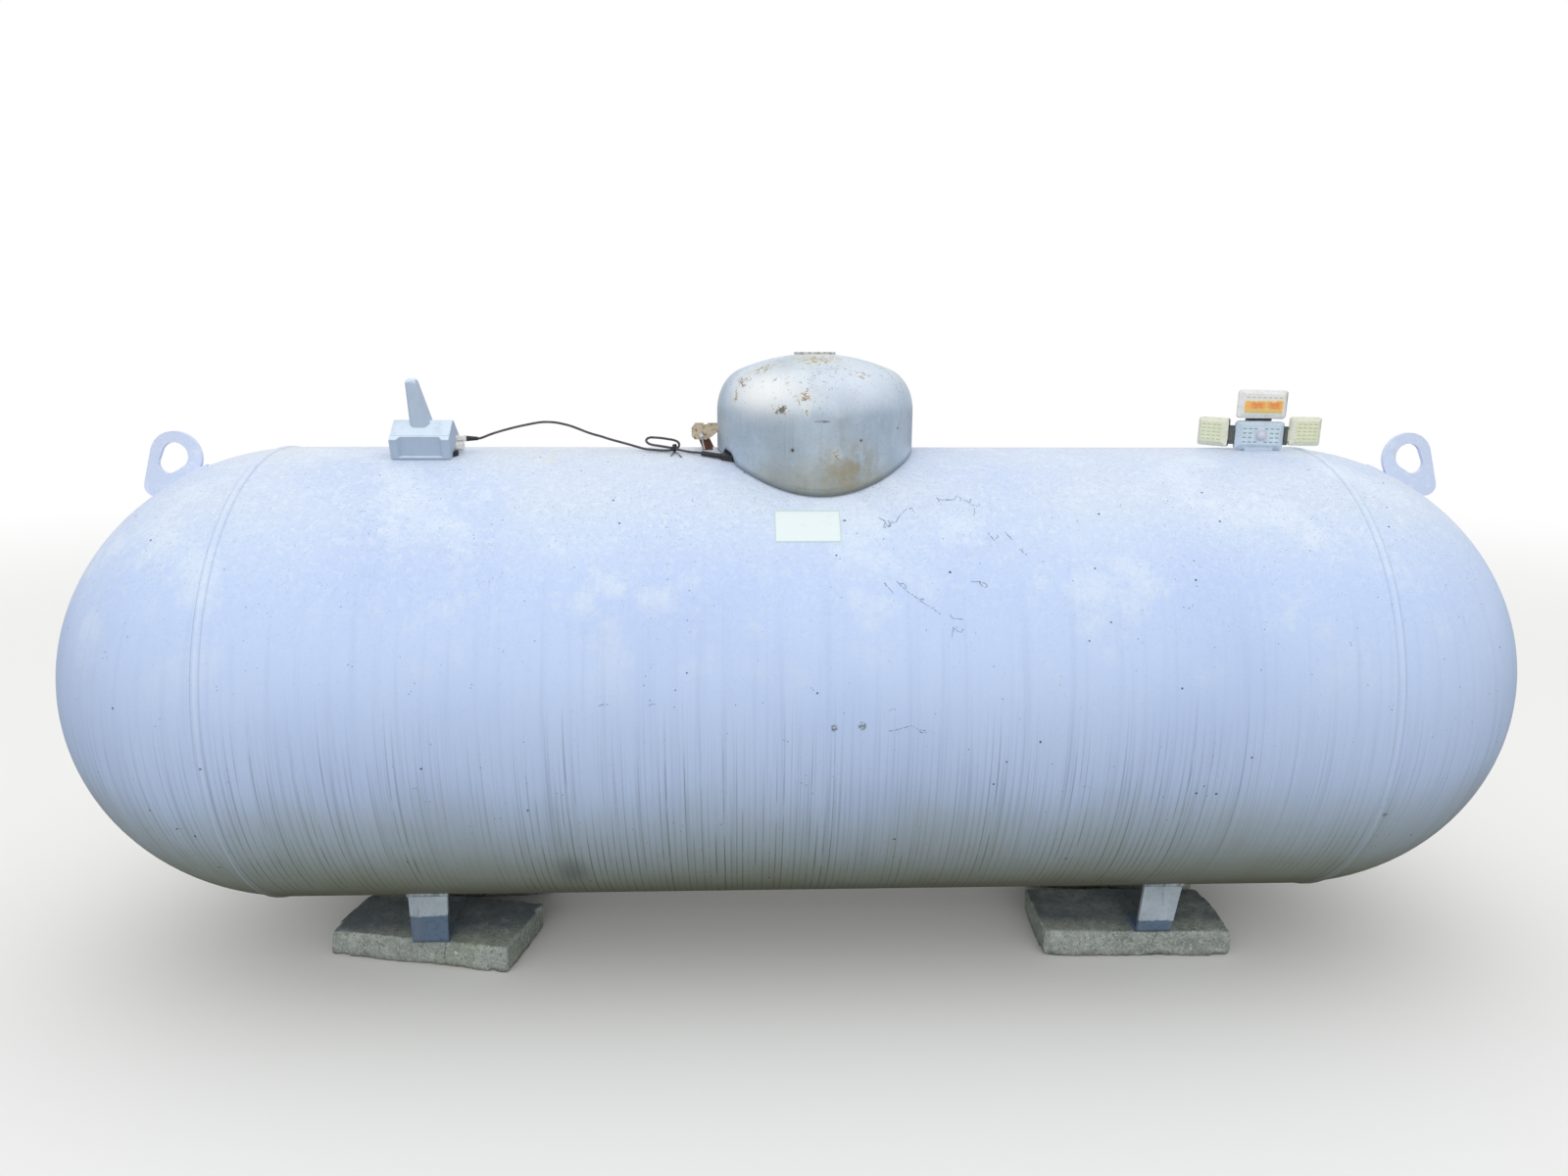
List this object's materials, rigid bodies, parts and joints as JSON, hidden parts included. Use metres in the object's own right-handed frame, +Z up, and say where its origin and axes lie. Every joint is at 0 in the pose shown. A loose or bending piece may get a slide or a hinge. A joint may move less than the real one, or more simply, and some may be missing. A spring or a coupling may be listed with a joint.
{
  "type": "horizontal pressure tank",
  "caption": "Horizontal round-ended pressure tank for liquefied gas on concrete blocks, with a hinged valve hood, lifting lugs, a level telemetry unit and a small solar lamp.",
  "frame": {"origin": "on the ground, under the middle of the tank", "axes": "+X along the tank to the right as seen from the front, -Y towards the front, +Z up"},
  "size_m": [3.0224, 0.9544, 1.2472],
  "materials": {
    "tank_paint": "weathered bluish white gloss paint, speckled and streaked",
    "leg_paint": "white paint over grey-blue primer at the foot",
    "concrete": "rough cast concrete with pale aggregate",
    "coupling_steel": "painted steel couplings",
    "valve_brass": "dull brass",
    "relief_cap_plastic": "yellow moulded rain cap",
    "fill_cap_plastic": "green moulded cap",
    "handwheel_paint": "red enamel",
    "gauge_metal": "die-cast, dull",
    "black_plastic": "black moulded plastic",
    "hinge_rust": "bare rusted steel",
    "pin_zinc": "zinc plated, dulled",
    "hood_paint": "silver-grey paint with rust specks and tan dirt",
    "tab_paint": "tan paint, rusted at the edges",
    "button_rust": "rusted steel",
    "unit_plastic": "light grey moulded plastic",
    "gland_plastic": "white moulded plastic",
    "foot_rubber": "black rubber-coated magnet",
    "cable_jacket": "dark grey cable jacket",
    "lamp_grey": "clear grey moulded housing",
    "lamp_cream": "cream moulded housing",
    "lamp_white": "white moulded housing",
    "lens_clear": "clear ribbed lens",
    "lens_yellow": "pale yellow ribbed lens",
    "lens_amber": "amber ribbed lens",
    "sensor_plastic": "milky sensor dome"
  },
  "bodies": {
    "root": {"shell": "tank_paint", "head_left": "tank_paint", "head_right": "tank_paint", "girth_welds": "tank_paint", "lifting_lug_left": "tank_paint", "lifting_lug_right": "tank_paint", "leg_front_left": "leg_paint", "leg_front_right": "leg_paint", "leg_rear_left": "leg_paint", "leg_rear_right": "leg_paint", "block_front_left": "concrete", "block_front_right": "concrete", "block_rear_left": "concrete", "block_rear_right": "concrete", "couplings": "coupling_steel", "relief_valve": "valve_brass", "relief_cap": "relief_cap_plastic", "fill_valve": "valve_brass", "fill_cap": "fill_cap_plastic", "service_valve": "valve_brass", "service_handwheel": "handwheel_paint", "liquid_valve": "valve_brass", "gauge_flange": "gauge_metal", "gauge_dial": "black_plastic", "hinge_lugs": "hinge_rust", "hinge_pin": "pin_zinc", "unit_case": "unit_plastic", "unit_front": "unit_plastic", "unit_antenna": "unit_plastic", "unit_gland": "gland_plastic", "unit_feet": "foot_rubber", "cable_boot": "black_plastic", "data_cable": "cable_jacket", "cable_tie": "black_plastic", "cable_sleeve": "black_plastic", "cable_connector": "black_plastic", "lamp_body": "lamp_grey", "lamp_lens": "lens_clear", "lamp_sensor": "sensor_plastic"},
    "hood": {"hood": "hood_paint", "hood_tabs": "tab_paint", "hood_button": "button_rust"},
    "lamp_left": {"lamp_head_left": "lamp_cream", "lamp_lens_left": "lens_yellow"},
    "lamp_right": {"lamp_head_right": "lamp_cream", "lamp_lens_right": "lens_yellow"},
    "lamp_top": {"lamp_head_top": "lamp_white", "lamp_lens_top": "lens_amber"}
  },
  "joints": [
    {"name": "hood_hinge", "type": "hinge", "parent": "root", "child": "hood", "pos_m": [-0.203, 0, 1.079], "axis": [0, -1, 0], "range_deg": [0, 95]},
    {"name": "lamp_left_swivel", "type": "hinge", "parent": "root", "child": "lamp_left", "pos_m": [0.91014, -0.03, 1.0811], "axis": [0.0209, 0, 0.9998], "range_deg": [-14, 56]},
    {"name": "lamp_right_swivel", "type": "hinge", "parent": "root", "child": "lamp_right", "pos_m": [1.02512, -0.03, 1.07869], "axis": [0.0209, 0, 0.9998], "range_deg": [-6, 64]},
    {"name": "lamp_top_tilt", "type": "hinge", "parent": "root", "child": "lamp_top", "pos_m": [0.96832, -0.022, 1.11289], "axis": [-0.9998, 0, 0.0209], "range_deg": [0, 60]}
  ]
}
